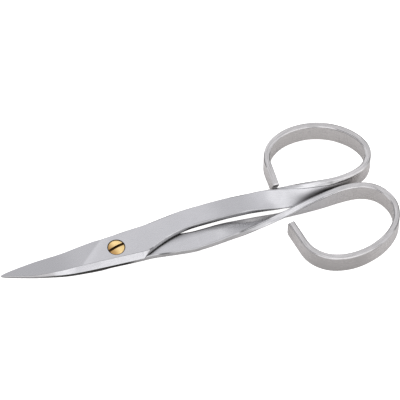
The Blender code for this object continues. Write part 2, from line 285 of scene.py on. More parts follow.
class ScissorsStage(bpy.types.PropertyGroup):
    """Floor, light and camera."""
    sky: amount("Room light", 0.75, "Brightness of the room all round")
    room: colour("Room colour", (0.965, 0.96, 1.0), "Colour of the room's light")
    bright_side: bpy.props.FloatVectorProperty(
        name="Bright side", default=(-0.18, -0.10, 0.36), subtype='XYZ',
        description="Side of the room that is brighter, and how much")
    top: amount("Top light", 0.7, "Power of the soft light above, in watts")
    front: amount("Front light", 0.68, "Power of the soft light in front, in watts")
    back: amount("Back light", 0.12, "Power of the soft light behind, in watts")
    target: bpy.props.FloatVectorProperty(
        name="Target", default=(0.023784, 0.007498, 0.0), subtype='TRANSLATION',
        description="Point that the camera looks at, from the pivot")
    distance: length("Camera distance", 0.75, "Distance of the camera from its target")
    elevation: turn("Elevation", 57.0, "Angle of the camera above the floor")
    azimuth: turn("Azimuth", 19.0, "Angle of the camera round the scissors")
    roll: turn("Roll", 0.53, "Tilt of the picture")
    lens: amount("Lens", 276.75, "Focal length in millimetres, on a 36 mm sensor")


class ScissorsSettings(bpy.types.PropertyGroup):
    """All settings of the scissors."""
    bar: bpy.props.PointerProperty(type=ScissorsBar)
    blade: bpy.props.PointerProperty(type=ScissorsBlade)
    upper_loop: bpy.props.PointerProperty(type=ScissorsLoop)
    lower_loop: bpy.props.PointerProperty(type=ScissorsLoop)
    screw: bpy.props.PointerProperty(type=ScissorsScrew)
    finish: bpy.props.PointerProperty(type=ScissorsFinish)
    stage: bpy.props.PointerProperty(type=ScissorsStage)


# Small helpers for curves and sections

def part_way(value, start, end):
    """0 up to start, 1 from end on, and in proportion between them."""
    return min(max((value - start) / (end - start), 0.0), 1.0)


def ease(value, start, end):
    """As part_way, but it starts and ends gently."""
    t = part_way(value, start, end)
    return t * t * (3.0 - 2.0 * t)


def patch(along, depth, coming, going):
    """How deep a patch of finish is at a place along the bar."""
    if coming:
        depth *= ease(along, *coming)
    if going:
        depth *= 1.0 - ease(along, *going)
    return depth


def mix(first, second, share):
    return [a + (b - a) * share for a, b in zip(first, second)]


def waver(along, wavelength, row):
    """Slow wave between -1 and 1, the same at every run, for marks of handwork. Each row has
    another wave."""
    row_gap, slice_height, strength = 3.7, 1.3, 1.6
    return noise.noise(Vector((along / wavelength, row_gap * row, slice_height))) * strength


def smooth_curve(points):
    """Catmull-Rom curve through the points, as a dense run of (x, y)."""
    points = np.array(points, dtype=float)
    knots = np.vstack([2.0 * points[0] - points[1], points, 2.0 * points[-1] - points[-2]])
    dense = []
    for i in range(1, len(knots) - 2):
        before, start, end, after = knots[i - 1:i + 3]
        bow = 2.0 * before - 5.0 * start + 4.0 * end - after
        swing = 3.0 * (start - end) + after - before
        for t in np.linspace(0.0, 1.0, CURVE_SAMPLES, endpoint=False):
            dense.append(0.5 * (2.0 * start + (end - before) * t + bow * t ** 2 + swing * t ** 3))
    dense.append(knots[-2])
    return np.array(dense)


def arc_lengths(points):
    steps = np.linalg.norm(np.diff(points, axis=0), axis=1)
    return np.concatenate([[0.0], np.cumsum(steps)])


def even_spacing(points, count):
    """The same curve as evenly spaced points, with its curvature evened out."""
    arcs = arc_lengths(points)
    spots = np.linspace(0.0, arcs[-1], count)
    even = np.column_stack([np.interp(spots, arcs, points[:, axis]) for axis in range(2)])
    reach = SMOOTHING_REACH
    weights = np.exp(-0.5 * (np.arange(-reach, reach + 1) / (SMOOTHING_SPREAD * reach)) ** 2)
    weights /= weights.sum()
    lead = 2.0 * even[0] - even[reach:0:-1]
    tail = 2.0 * even[-1] - even[-2:-reach - 2:-1]
    padded = np.vstack([lead, even, tail])
    return np.column_stack([np.convolve(padded[:, axis], weights, mode="valid")
                            for axis in range(2)])


def cross_section(outer, inner, base, thickness, outer_side, inner_side):
    """The eight corners as (across, height). The outer and the inner side are each given as their
    lower corner, the height of their wall, and how far in the wall and the face end."""
    low_out, wall_out, wall_in_by, face_out_by = outer_side
    low_in, wall_in, spine_in_by, face_in_by = inner_side
    return [
        (outer, base + low_out),
        (outer - wall_in_by, base + wall_out),
        (outer - face_out_by, base + thickness),
        (inner + face_in_by, base + thickness),
        (inner + spine_in_by, base + wall_in),
        (inner, base + low_in),
        (inner + low_in, base),
        (outer - low_out, base),
    ]


def run_of_points(first, last, pull, steps, crowded):
    """Points from first towards last, bent towards pull, as (point, share of the way). Crowded
    points lie closer together near both ends."""
    points = []
    for i in range(steps):
        t = 0.5 - 0.5 * math.cos(math.pi * i / steps) if crowded else i / steps
        points.append(([(1.0 - t) ** 2 * a + 2.0 * t * (1.0 - t) * c + t * t * b
                        for a, b, c in zip(first, last, pull)], t))
    return points


def shine(bulge):
    """How worn a corner is for its bulge. A flat chamfer isn't worn."""
    return bulge * ease(bulge, *WORN_BULGES)


def fine_ring(corners, bulges):
    """The eight corners as a fine ring. Each entry is across, height, how worn it is, and side."""
    meets = [
        (corners[1][0], corners[2][1]), (corners[4][0], corners[3][1]),
        (corners[5][0], corners[6][1]), (corners[0][0], corners[7][1]),
    ]
    ring = []
    for side in range(8):
        first, last = corners[side], corners[(side + 1) % 8]
        wide = side in (FLAT, UNDERSIDE)
        pull = mix(first, last, 0.5)
        bulge, steps = 0.0, FACE_STEPS if wide else WALL_STEPS
        if side % 2:
            bulge, steps = bulges[side // 2], CORNER_STEPS
            pull = mix(pull, meets[side // 2], bulge)
        for point, t in run_of_points(first, last, pull, steps, crowded=wide):
            ring.append((*point, math.sin(math.pi * t) * shine(bulge), side))
    return ring


class Shaper:
    """Draws one half. Face is 1 for the upper half, and -1 for the lower one, whose outer face
    looks down."""

    def __init__(self, settings, face):
        self.bar = settings.bar
        self.blade = settings.blade
        self.face = face
        self.loop = settings.upper_loop if face > 0 else settings.lower_loop
        self.shares = UPPER_LOOP_SHARES if face > 0 else LOWER_LOOP_SHARES
        self.outline = smooth_curve(BLADE_OUTLINE_SHARES)
        self.points = []
        self.marks = []
        self.faceted = []

    def plain_side(self, along, row):
        """Side of the bar: a square wall between two small corners, a little uneven."""
        reach = self.bar.corner * (1.0 + CORNER_WAVER * waver(along, CORNER_WAVE, row))
        return [reach, self.bar.thickness - reach, 0.0, reach]

    def rise(self, x, y):
        """Height of the curved blades. It depends only on the distance from the pivot."""
        blade = self.blade
        past = math.hypot(x, y) - blade.bend_start
        if x >= 0.0 or past <= 0.0:
            return 0.0
        slope = math.tan(blade.bend_angle)
        if past < blade.bend_run:
            return 0.5 * slope * past * past / blade.bend_run
        return slope * (past - 0.5 * blade.bend_run)

    def painted_shade(self, along, side):
        """How much painted shade a side gets: the walls of the blades, where they would reflect the
        shadow under the scissors, and stretches of the flats, corners and loops that are painted
        darker.
        """
        upper = self.face > 0
        from_point = POINT_SHADE_LEAST + patch(along, *POINT_SHADE)
        if side in (OUTER_WALL, OUTER_FOOT):
            extra_shade = 0.0 if upper else patch(along, *LOWER_WALL_SHADE)
            return max(from_point * patch(along, *CUTTING_SIDE_SHADE), extra_shade)
        if side == FLAT:
            extra_shade = patch(along, *UPPER_SHANK_SHADE) if upper else 0.0
            return patch(along, *BLADE_FACE_SHADE) + extra_shade
        if side == INNER_CORNER and upper:
            return patch(along, *UPPER_CORNER_SHADE)
        if side in (INNER_WALL, INNER_FOOT):
            bright = patch(along, *SPINE_WALL_SHADE_LIFTED) if side == INNER_WALL else 0.0
            return from_point * patch(along, *SPINE_SIDE_SHADE) * (1.0 - bright)
        if side == UNDERSIDE and not upper:
            return patch(along, *LOWER_LOOP_SHADE)
        return 0.0

    def lap_shadow(self, along, across, side):
        """How much painted shadow a flat gets towards the edge that lies against the other half: on
        the lower shank beside the upper one, and on the upper half's twist, where it would reflect
        the dark gap by the lower loop. In front of the shank, across is measured from the middle
        line, and in it from the bar's middle."""
        if self.face > 0 and side in (FLAT, INNER_CORNER):
            start, full = UPPER_LAP_SHADOW_EDGE
            full -= patch(along, *UPPER_LAP_SHADOW_NARROWS)
            deep = UPPER_LAP_SHADOW_LEAST + patch(along, *UPPER_LAP_SHADOW_DEEPENS)
            return deep * patch(along, *UPPER_LAP_SHADOW) * ease(-across, start, full)
        if self.face < 0 and side in (INNER_FOOT, UNDERSIDE):
            in_shank = along >= self.blade.shank_start
            middle = 0.0 if in_shank else self.loop.clearance + 0.5 * self.bar.width
            return patch(along, *LOWER_LAP_SHADOW) * ease(middle - across, *LOWER_LAP_SHADOW_EDGE)
        return 0.0

    def wear(self, along, side):
        """How much wear a corner shows. Two corners are clean in the shanks, and so is the upper
        half's free end."""
        if self.face < 0:
            return 1.0 - (patch(along, *LOWER_CORNER_CLEAN) if side == OUTER_FOOT else 0.0)
        clean = patch(along, *UPPER_CORNER_CLEAN) if side == INNER_CORNER else 0.0
        return (1.0 - patch(along, *UPPER_END_CLEAN)) * (1.0 - clean)

    def add_ring(self, along, ring, put, faceted=False, least_shade=0.0):
        """Keeps a ring's points and their marks: the place in the straight bar, how worn and how
        crowned the steel is, and how much painted shade it gets. The facet's upper line gets a line
        of painted shade, darker than what lies by it."""
        crown = self.loop.bow * patch(along, *TWIST_CROWNED)
        for i, (across, height, worn, side) in enumerate(ring):
            before = ring[i - 1][3]
            painted_shade = max(self.painted_shade(along, side), self.painted_shade(along, before))
            painted_shade += self.lap_shadow(along, across, side)
            if faceted and (before, side) == (FLAT, INNER_CORNER):
                painted_shade = FACET_LINE_SHADE
            self.points.append(put(across, height))
            self.marks.append((along, across, height, worn * self.wear(along, side),
                               max(painted_shade, least_shade), crown))
        self.faceted.append(faceted)

    def blade_section(self, x):
        """Cross-section between the point of the blade and the shoulder."""
        blade = self.blade
        bar = self.bar
        thickness = bar.thickness + (blade.tip_thickness - bar.thickness) * part_way(
            -x, blade.taper_start, blade.length)
        share = np.interp(x / blade.length, self.outline[:, 0], self.outline[:, 1])
        wider = blade.shoulder_half_width - blade.half_width
        face = blade.half_width * share + wider * part_way(x, 0.0, blade.shoulder_back)
        heel = ease(x, -blade.heel, -0.5 * blade.heel)
        lean = blade.lean * share
        wall = thickness - blade.land
        cutting = [blade.land, wall, lean * wall / thickness, lean + blade.land * share]
        fade = part_way(-x, blade.fade_start, blade.fade_start + blade.fade_length)
        facet = blade.facet_width * (1.0 - (1.0 - FACET_END_SHARE * share) * fade)
        facet *= 1.0 + FACET_WAVER * waver(x, FACET_WAVE, FACET_ROW)
        spine = [blade.land, blade.facet_land * thickness / bar.thickness, 0.0, facet]
        outer = face + lean * (1.0 - heel)
        inner = -face - blade.overhang * share
        corners = cross_section(outer, inner, 0.5 * bar.gap, thickness,
                                mix(cutting, self.plain_side(x, OUTER_ROW), heel), spine)
        return fine_ring(corners, (ROUND, CHAMFERED, EASED, ROUND))

    def shoulder_section(self, x):
        """Cross-section behind the shoulder, where the spine side sweeps in to the shank. Its wall
        cuts through the facet, and is as high as the facet there until it has passed it."""
        blade = self.blade
        bar = self.bar
        clearance = self.loop.clearance
        shank_edge = clearance + bar.width
        outer = blade.shoulder_half_width + (shank_edge - blade.shoulder_half_width) * ease(
            x, blade.shoulder_back, blade.shank_start)
        left = 1.0 - part_way(x, blade.shoulder_back, blade.shank_start)
        spine = blade.shoulder_half_width + blade.overhang
        inner = clearance - (spine + clearance) * left ** SHOULDER_CURVE
        swept_in = inner + spine
        passed = min(swept_in / blade.facet_width, 1.0)
        corner = self.plain_side(x, INNER_ROW)[0]
        wall = blade.facet_land + (bar.thickness - blade.facet_land) * passed
        lean = blade.shoulder_lean * left * passed
        swept = [blade.land + (corner - blade.land) * passed, min(wall, bar.thickness - corner),
                 lean, max(blade.facet_width - swept_in, corner + lean)]
        corners = cross_section(outer, inner, 0.5 * bar.gap, bar.thickness,
                                self.plain_side(x, OUTER_ROW), swept)
        bulge = ROUND * ease(passed, *SHOULDER_ROUNDS)
        return fine_ring(corners, (ROUND, bulge, ROUND, ROUND)), passed < 1.0

    def add_blade(self):
        blade = self.blade
        reach = blade.length + blade.shoulder_back
        for i in range(BLADE_STATIONS + 1):
            x = reach * (i / BLADE_STATIONS) ** STATION_CROWDING - blade.length
            self.add_ring(x, self.blade_section(x),
                          lambda y, z, x=x: (x, y, self.face * z + self.rise(x, y)), True)
        for i in range(1, SHOULDER_STATIONS):
            share = (i / SHOULDER_STATIONS) ** SHOULDER_CROWDING
            x = blade.shoulder_back + (blade.shank_start - blade.shoulder_back) * share
            ring, faceted = self.shoulder_section(x)
            self.add_ring(x, ring, lambda y, z, x=x: (x, y, self.face * z), faceted)

    def bar_path(self):
        """Middle of the bar in plan, from the shank's start to the loop's free end."""
        start = self.blade.shank_start
        middle = self.loop.clearance + 0.5 * self.bar.width
        points = [(start, middle), (start + SHANK_STRAIGHT_SHARE * (LOOP_START - start), middle)]
        for along, across in self.shares:
            points.append((LOOP_START + along * self.loop.length,
                           self.loop.offset + across * self.loop.width))
        return even_spacing(smooth_curve(points), BAR_STATIONS + 1)

    def add_bar(self):
        """Shank and loop. The bar turns a quarter about its own length, so that its outer edge
        faces up in the loop and its underside faces into the loop."""
        bar = self.bar
        path = self.bar_path()
        arcs = arc_lengths(path)
        heading = np.gradient(path, arcs, axis=0)
        heading /= np.linalg.norm(heading, axis=1)[:, None]
        lift = 0.5 * (bar.gap + bar.thickness)
        for spot, direction, arc in zip(path, heading, arcs):
            along = self.blade.shank_start + arc
            turned = ease(along, self.loop.twist_start, self.loop.twist_end)
            angle = 0.5 * math.pi * turned
            to_end = min(arcs[-1] - arc, bar.end_round)
            trim = bar.end_round - math.sqrt(bar.end_round ** 2 - (bar.end_round - to_end) ** 2)
            half = 0.5 * (bar.width + (bar.loop_width - bar.width) * turned) - trim
            slant = self.loop.end_slant * ease(arc, arcs[-1] - bar.slant_run, arcs[-1])
            top = self.plain_side(along, OUTER_ROW)
            worked = patch(along, *TWIST_WORKED) if self.face > 0 else 0.0
            top[1] -= bar.softening * worked
            top[3] += bar.softening * worked
            bulge = ROUND - BULGE_LOST_IN_TWIST * worked
            corners = cross_section(half, -half, -0.5 * bar.thickness, bar.thickness,
                                    top, self.plain_side(along, INNER_ROW))
            up = self.face * lift * (1.0 - turned) ** TWIST_SETTLING

            def put(across, height):
                side = across * math.cos(angle) - self.face * height * math.sin(angle)
                rise = across * math.sin(angle) + self.face * height * math.cos(angle)
                forward = slant * across
                return (spot[0] + direction[0] * forward - direction[1] * side,
                        spot[1] + direction[1] * forward + direction[0] * side, up + rise)

            # The free end of the bar gets painted shade
            self.add_ring(along, fine_ring(corners, (bulge, ROUND, ROUND, ROUND)), put,
                          least_shade=FREE_END_SHADE if arc == arcs[-1] else 0.0)

    def mesh(self, name, slots):
        """Closed skin over the rings. The lower half is mirrored in plan."""
        self.add_blade()
        self.add_bar()
        shape = bmesh.new()
        verts = [shape.verts.new((x, self.face * y, z)) for x, y, z in self.points]
        sides = [entry[3] for entry in self.blade_section(0.0)]
        count = len(sides)
        rings = [verts[i:i + count] for i in range(0, len(verts), count)]
        for faceted, ring, following in zip(self.faceted, rings, rings[1:]):
            for i in range(count):
                flat = shape.faces.new((ring[i - 1], ring[i], following[i], following[i - 1]))
                side = sides[i - 1]
                flat.material_index = FACE if side in (FLAT, UNDERSIDE) else EDGE
                if side == INNER_CORNER and faceted:
                    flat.material_index = FACET
        for cap in (rings[0], rings[-1]):
            shape.faces.new(cap).material_index = EDGE
        bmesh.ops.recalc_face_normals(shape, faces=shape.faces)
        return finished_mesh(name, shape, slots)


def finished_mesh(name, shape, slots):
    """A mesh with its material slots, made of a bmesh that isn't needed any more."""
    mesh = bpy.data.meshes.new(name)
    shape.to_mesh(mesh)
    shape.free()
    for material in slots:
        mesh.materials.append(material)
    return mesh


def put_object(name, mesh):
    made = bpy.data.objects.new(name, mesh)
    bpy.context.scene.collection.objects.link(made)
    return made


def turned_mesh(name, profile, slots, slot):
    """Solid of revolution about Z, all in one material slot. The profile starts and ends on the
    axis."""
    shape = bmesh.new()
    start = shape.verts.new((0.0, 0.0, profile[0][1]))
    end = shape.verts.new((0.0, 0.0, profile[-1][1]))
    rings = []
    for radius, height in profile[1:-1]:
        ring = []
        for i in range(SCREW_SIDES):
            angle = 2.0 * math.pi * i / SCREW_SIDES
            spot = (radius * math.cos(angle), radius * math.sin(angle), height)
            ring.append(shape.verts.new(spot))
        rings.append(ring)
    for i in range(SCREW_SIDES):
        shape.faces.new((start, rings[0][i - 1], rings[0][i]))
        shape.faces.new((end, rings[-1][i - 1], rings[-1][i]))
        for ring, following in zip(rings, rings[1:]):
            shape.faces.new((ring[i - 1], ring[i], following[i], following[i - 1]))
    for flat in shape.faces:
        flat.material_index = slot
    bmesh.ops.recalc_face_normals(shape, faces=shape.faces)
    return finished_mesh(name, shape, slots)


def cut_away(piece, cutters):
    """Takes the cutters out of the piece for good, and removes them."""
    for cutter in cutters:
        modifier = piece.modifiers.new("Cut", 'BOOLEAN')
        modifier.operation = 'DIFFERENCE'
        modifier.solver = 'EXACT'
        modifier.object = cutter
    bpy.context.view_layer.update()
    seen = piece.evaluated_get(bpy.context.evaluated_depsgraph_get())
    mesh = bpy.data.meshes.new_from_object(seen)
    piece.modifiers.clear()
    piece.data = mesh
    for cutter in cutters:
        bpy.data.objects.remove(cutter, do_unlink=True)


def store_values(mesh, name, kind, values):
    """Puts one value per point on the mesh, for its materials to read."""
    attribute = mesh.attributes.new(name, kind, 'POINT')
    field = "vector" if kind == 'FLOAT_VECTOR' else "value"
    attribute.data.foreach_set(field, np.array(values, dtype=np.float32).ravel())


def mark_half(piece, shaper):
    """Stores each point's place in the straight bar, how worn and how crowned it is, and how much
    painted shade it gets. A point that a cut has added lies in the flat bar round the pivot, so its
    place is where it is."""
    tree = KDTree(len(shaper.points))
    for i, (x, y, z) in enumerate(shaper.points):
        tree.insert((x, shaper.face * y, z), i)
    tree.balance()
    marks = []
    for vert in piece.data.vertices:
        _, i, distance = tree.find(vert.co)
        x, y, z = vert.co
        added = (x, shaper.face * y, shaper.face * z, 0.0, 0.0, 0.0)
        marks.append(shaper.marks[i] if distance < SAME_POINT else added)
    marks = np.array(marks)
    store_values(piece.data, "bar_place", 'FLOAT_VECTOR', marks[:, :3])
    for column, name in enumerate(("corner", "raw_edge", "crown"), start=3):
        store_values(piece.data, name, 'FLOAT', marks[:, column])


def finish_piece(piece, body, node):
    """Smooths the piece's shading, carries it to the pivot, ties it to its body, and hides the
    frame's part that it stands for.
    """
    piece.data.shade_smooth()
    piece.data.set_sharp_from_angle(angle=SMOOTH_ANGLE)
    piece.data.transform(Matrix.Translation(PIVOT))
    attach(piece, body)
    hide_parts(node)


# Materials

# How strongly each mark shows on the steel, and its tone as a share of the steel's own
SMUDGE_SHOWS, SMUDGE_TONE = 0.16, 0.72
BURR_SHOWS, BURR_TONE = 0.85, 0.2
# Tone of the painted shade on the front of the blade's face, and how strongly the painted highlight
# where it starts to bend shows
BEND_SHADE_TONE = 0.80
BEND_HIGHLIGHT_SHOWS = 0.4
WEAR_SHOWS = 0.45
# How much each mark adds to the roughness
MARKS_ROUGHEN, SMUDGES_ROUGHEN, SHADE_ROUGHENS, WEAR_ROUGHENS = -0.08, 0.06, 0.15, -0.12
PATCHINESS = 0.5
WEAR_REACH = 0.55
WAVE_SCALE, WAVE_HEIGHT = 90.0, 0.00003
# Crowned flats, across the bar: where their crest lies, and from where on they are level
CROWN_CREST, CROWN_RIM = -0.0059, 0.0018
# The front of the blade's face is painted a shade darker, with a painted highlight across it where
# the blade starts to bend: the slant of its line, and how far ahead of the slanted line through the
# pivot the highlight rises and then ends
BEND_LINE_SLANT = 1.17
BEND_HIGHLIGHT_RISES, BEND_HIGHLIGHT_ENDS = (0.0035, 0.0062), (0.0062, 0.0072)
# Tint of the steel in the loops, where it is handled, and the stretch over which it comes in
WARM_TINT = (1.04, 1.005, 0.96)
WARM_STRETCH = (0.046, 0.062)

VECTOR_INPUTS = ("Place", "Stretch")
COLUMN_WIDTH, ROW_HEIGHT = 190, 170


class Nodes:
    """Adds nodes to a tree. What feeds a node is a plain value or another node's socket."""

    def __init__(self, tree):
        self.tree = tree

    def feed(self, source, node, socket):
        if isinstance(source, bpy.types.NodeSocket):
            self.tree.links.new(source, node.inputs[socket])
        else:
            node.inputs[socket].default_value = source

    def add(self, kind, inputs=None, **settings):
        """A new node. Its settings decide which sockets it has, so they come first."""
        node = self.tree.nodes.new("ShaderNode" + kind)
        for name, value in settings.items():
            setattr(node, name, value)
        for socket, source in (inputs or {}).items():
            self.feed(source, node, socket)
        return node

    def math(self, operation, first, second, clamp=False):
        inputs = {0: first, 1: second}
        return self.add("Math", inputs, operation=operation, use_clamp=clamp).outputs[0]

    def plus(self, first, second, clamp=False):
        return self.math('ADD', first, second, clamp)

    def minus(self, first, second):
        return self.math('SUBTRACT', first, second)

    def times(self, first, second):
        return self.math('MULTIPLY', first, second)

    def vector(self, operation, *inputs, result="Vector"):
        return self.add("VectorMath", dict(enumerate(inputs)), operation=operation).outputs[result]

    def ramp(self, value, low, high, shape='SMOOTHSTEP'):
        """0 up to low, 1 from high on."""
        inputs = {"Value": value, "From Min": low, "From Max": high}
        return self.add("MapRange", inputs, interpolation_type=shape).outputs["Result"]

    def mix(self, share, first, second, blend='MIX'):
        inputs = {"Factor": share, "A": first, "B": second}
        node = self.add("Mix", inputs, data_type='RGBA', blend_type=blend)
        return next(s for s in node.outputs if s.type == 'RGBA')

    def noise(self, place, scale, detail, roughness=0.55):
        inputs = {"Vector": place, "Scale": scale, "Detail": detail, "Roughness": roughness}
        return self.add("TexNoise", inputs).outputs["Fac"]

    def stored(self, name, result="Fac"):
        """A value that the mesh keeps for each point."""
        return self.add("Attribute", attribute_name=name).outputs[result]

    def bump(self, height, distance, **normal):
        inputs = {"Strength": 1.0, "Distance": distance, "Height": height, **normal}
        return self.add("Bump", inputs).outputs["Normal"]

    def group(self, name, build, **inputs):
        """The outputs of the shared group of this name, which is built at its first use."""
        tree = bpy.data.node_groups.get(name) or shared_group(name, build, inputs)
        return self.add("Group", inputs, node_tree=tree).outputs

    def lay_out(self):
        """Puts each node in a column to the right of all that feed it."""
        columns = {node.name: 0 for node in self.tree.nodes}
        for _ in columns:
            for link in self.tree.links:
                start, end = link.from_node.name, link.to_node.name
                columns[end] = max(columns[end], columns[start] + 1)
        filled = [0] * (len(columns) + 1)
        for node in self.tree.nodes:
            column = columns[node.name]
            node.location = (column * COLUMN_WIDTH, -filled[column] * ROW_HEIGHT)
            filled[column] += 1


def shared_group(name, build, inputs):
    """A node group with a named socket for each input. Build gets the group's nodes and inputs, and
    gives back its outputs by name."""
    tree = bpy.data.node_groups.new(name, "ShaderNodeTree")
    for label in inputs:
        kind = "NodeSocketVector" if label in VECTOR_INPUTS else "NodeSocketFloat"
        tree.interface.new_socket(label, in_out='INPUT', socket_type=kind)
    source = tree.nodes.new("NodeGroupInput")
    nodes = Nodes(tree)
    results = build(nodes, *[source.outputs[label] for label in inputs])
    for label in results:
        tree.interface.new_socket(label, in_out='OUTPUT', socket_type="NodeSocketFloat")
    end = tree.nodes.new("NodeGroupOutput")
    for label, result in results.items():
        nodes.feed(result, end, label)
    nodes.lay_out()
    return tree


def brush_marks(nodes, place, stretch, patchiness):
    """Fine lines that a brush or grinding belt leaves."""
    coarse_scale, fine_scale, patch_scale = 1.0, 2.7, 420.0
    coarse_share, fine_share = 0.45, 0.55
    line_start, line_full = 0.36, 0.64
    scaled = nodes.vector('MULTIPLY', place, stretch)
    coarse = nodes.noise(scaled, coarse_scale, 2.0)
    fine = nodes.noise(scaled, fine_scale, 3.0)
    patches = nodes.noise(place, patch_scale, 2.0)
    lines = nodes.plus(nodes.times(coarse, coarse_share), nodes.times(fine, fine_share))
    sharp = nodes.ramp(lines, line_start, line_full, 'LINEAR')
    uneven = nodes.times(nodes.minus(patches, 0.5), patchiness)
    return {"Marks": nodes.plus(sharp, uneven, clamp=True)}


def worn_corners(nodes, place, corner, reach):
    """Where handling has polished the corners, and where the line of a burr runs along them."""
    wear_scale, burr_scale = 900.0, 110.0
    fully_worn = 1.1
    burr_stretches, burr_starts, burr_ends = (0.46, 0.54), (0.02, 0.12), (0.68, 0.9)
    broken = nodes.plus(corner, nodes.minus(nodes.noise(place, wear_scale, 3.0), 0.5))
    stretches = nodes.ramp(nodes.noise(place, burr_scale, 1.0), *burr_stretches)
    line = nodes.minus(nodes.ramp(corner, *burr_starts, 'LINEAR'),
                       nodes.ramp(corner, *burr_ends, 'LINEAR'))
    return {"Wear": nodes.ramp(broken, nodes.minus(1.0, reach), fully_worn),
            "Burr": nodes.times(line, stretches)}


def polish_waves(nodes, place, scale):
    """Slow unevenness that hand polishing leaves in a flat face, and the smudges on it."""
    smudge_scale, smudge_breaks, smudge_start, smudge_full = 2.3, 0.62, 0.38, 0.66
    smudges = nodes.noise(place, nodes.times(scale, smudge_scale), 4.0, smudge_breaks)
    return {"Waves": nodes.noise(place, scale, 1.0),
            "Smudges": nodes.ramp(smudges, smudge_start, smudge_full)}


def bar_places(nodes, place, crown):
    """Masks that depend on the place in the bar: the front of the blade's face, painted a shade
    darker, and the painted highlight across it where the blade starts to bend, as the bending face
    would reflect; the handled loops; and how far the crowned flats fall away from their crest."""
    parts = nodes.add("SeparateXYZ", {0: place}).outputs
    ahead = nodes.minus(nodes.times(parts["Y"], BEND_LINE_SLANT), parts["X"])
    # Painted shade on the front of the blade, and a painted highlight where it starts to bend
    ground = nodes.ramp(ahead, *BEND_HIGHLIGHT_ENDS)
    bend_highlight = nodes.times(nodes.ramp(ahead, *BEND_HIGHLIGHT_RISES), nodes.minus(1.0, ground))
    across = nodes.math('MINIMUM', parts["Y"], CROWN_RIM)
    fall = nodes.times(across, nodes.minus(across, 2.0 * CROWN_CREST))
    return {"Ground": ground, "Lip": bend_highlight, "Handled": nodes.ramp(parts["X"], *WARM_STRETCH),
            "Fall": nodes.times(fall, crown)}


def opaque(tone, share=1.0):
    """A tone, or a share of it, as a colour with alpha."""
    return (*[c * share for c in tone], 1.0)


def new_material(name, metallic=1.0):
    material = bpy.data.materials.new(name)
    material.use_nodes = True
    shader = material.node_tree.nodes["Principled BSDF"]
    shader.inputs["Metallic"].default_value = metallic
    return material, Nodes(material.node_tree), shader


def steel_material(name, finish, tone, stretch, roughness, depth, contrast,
                   bend_shade=0.0, darkening=1.0, warmth=0.0):
    """Steel with brush marks that follow the bar. Stretch is how many marks there are per metre in
    each direction of the bar. Painted shade darkens it where it would reflect shadow or lie in it,
    as much as darkening says, and on the flat faces the front of the blade is painted darker, with
    a painted highlight where it starts to bend. Corners are worn bright, with the dark line of a
    burr along them here and there."""
    found = bpy.data.materials.get(name)
    if found:
        return found
    material, nodes, shader = new_material(name)
    place = nodes.stored("bar_place", "Vector")
    marks = nodes.group("Brush marks", brush_marks, Place=place, Stretch=stretch,
                        Patchiness=PATCHINESS)["Marks"]
    corners = nodes.group("Worn corners", worn_corners, Place=place,
                          Corner=nodes.stored("corner"), Reach=WEAR_REACH)
    polish = nodes.group("Polish waves", polish_waves, Place=place, Scale=WAVE_SCALE)
    masks = nodes.group("Bar places", bar_places, Place=place, Crown=nodes.stored("crown"))
    smudges, burr, wear = polish["Smudges"], corners["Burr"], corners["Wear"]
    # Painted shade, as the mesh stores it for each point
    painted_shade = nodes.times(nodes.stored("raw_edge"), darkening)

    layers = [(nodes.times(smudges, SMUDGE_SHOWS), opaque(tone, SMUDGE_TONE)),
              (nodes.times(burr, BURR_SHOWS), opaque(tone, BURR_TONE))]
    # Painted shade on the front of the blade, and a painted highlight where it starts to bend
    if bend_shade:
        layers += [(nodes.times(masks["Ground"], bend_shade), opaque(tone, BEND_SHADE_TONE)),
                   (nodes.times(masks["Lip"], BEND_HIGHLIGHT_SHOWS), opaque(finish.facet))]
    shown_wear = nodes.times(nodes.times(wear, nodes.minus(1.0, burr)), WEAR_SHOWS)
    layers += [(shown_wear, opaque(finish.worn)), (painted_shade, opaque(finish.painted_shade))]
    shown = nodes.mix(marks, opaque(tone, 1.0 - contrast), opaque(tone))
    for share, layer in layers:
        shown = nodes.mix(share, shown, layer)
    warm = nodes.times(masks["Handled"], warmth)
    nodes.feed(nodes.mix(warm, shown, opaque(WARM_TINT), 'MULTIPLY'), shader, "Base Color")

    for mark, roughens in ((marks, MARKS_ROUGHEN), (smudges, SMUDGES_ROUGHEN), (painted_shade, SHADE_ROUGHENS),
                           (wear, WEAR_ROUGHENS)):
        roughness = nodes.plus(roughness, nodes.times(mark, roughens), clamp=True)
    nodes.feed(roughness, shader, "Roughness")
    waves = nodes.times(polish["Waves"], WAVE_HEIGHT)
    slow = nodes.bump(nodes.minus(waves, masks["Fall"]), 1.0)
    nodes.feed(nodes.bump(marks, depth, Normal=slow), shader, "Normal")
    nodes.lay_out()
    return material


def steel_slots(finish):
    """The steel materials in slot order: flat faces, facet, edges, bores."""
    return [
        steel_material("satin_steel", finish, finish.steel, stretch=(500.0, 3200.0, 3200.0),
                       roughness=0.27, depth=0.0000004, contrast=0.06, bend_shade=0.8, warmth=0.7),
        steel_material("ground_steel", finish, finish.facet, stretch=(500.0, 9000.0, 9000.0),
                       roughness=0.24, depth=0.0000015, contrast=0.10, darkening=0.0),
        steel_material("brushed_edge_steel", finish, finish.edge, stretch=(160.0, 3000.0, 3000.0),
                       roughness=0.26, depth=0.0000012, contrast=0.34, warmth=0.5),
        # The bores and the head's seat take the near-black of the painted shade, as shade in a
        # recess
        steel_material("bore_steel", finish, finish.painted_shade, stretch=(900.0, 9000.0, 9000.0),
                       roughness=0.40, depth=0.000002, contrast=0.2),
    ]


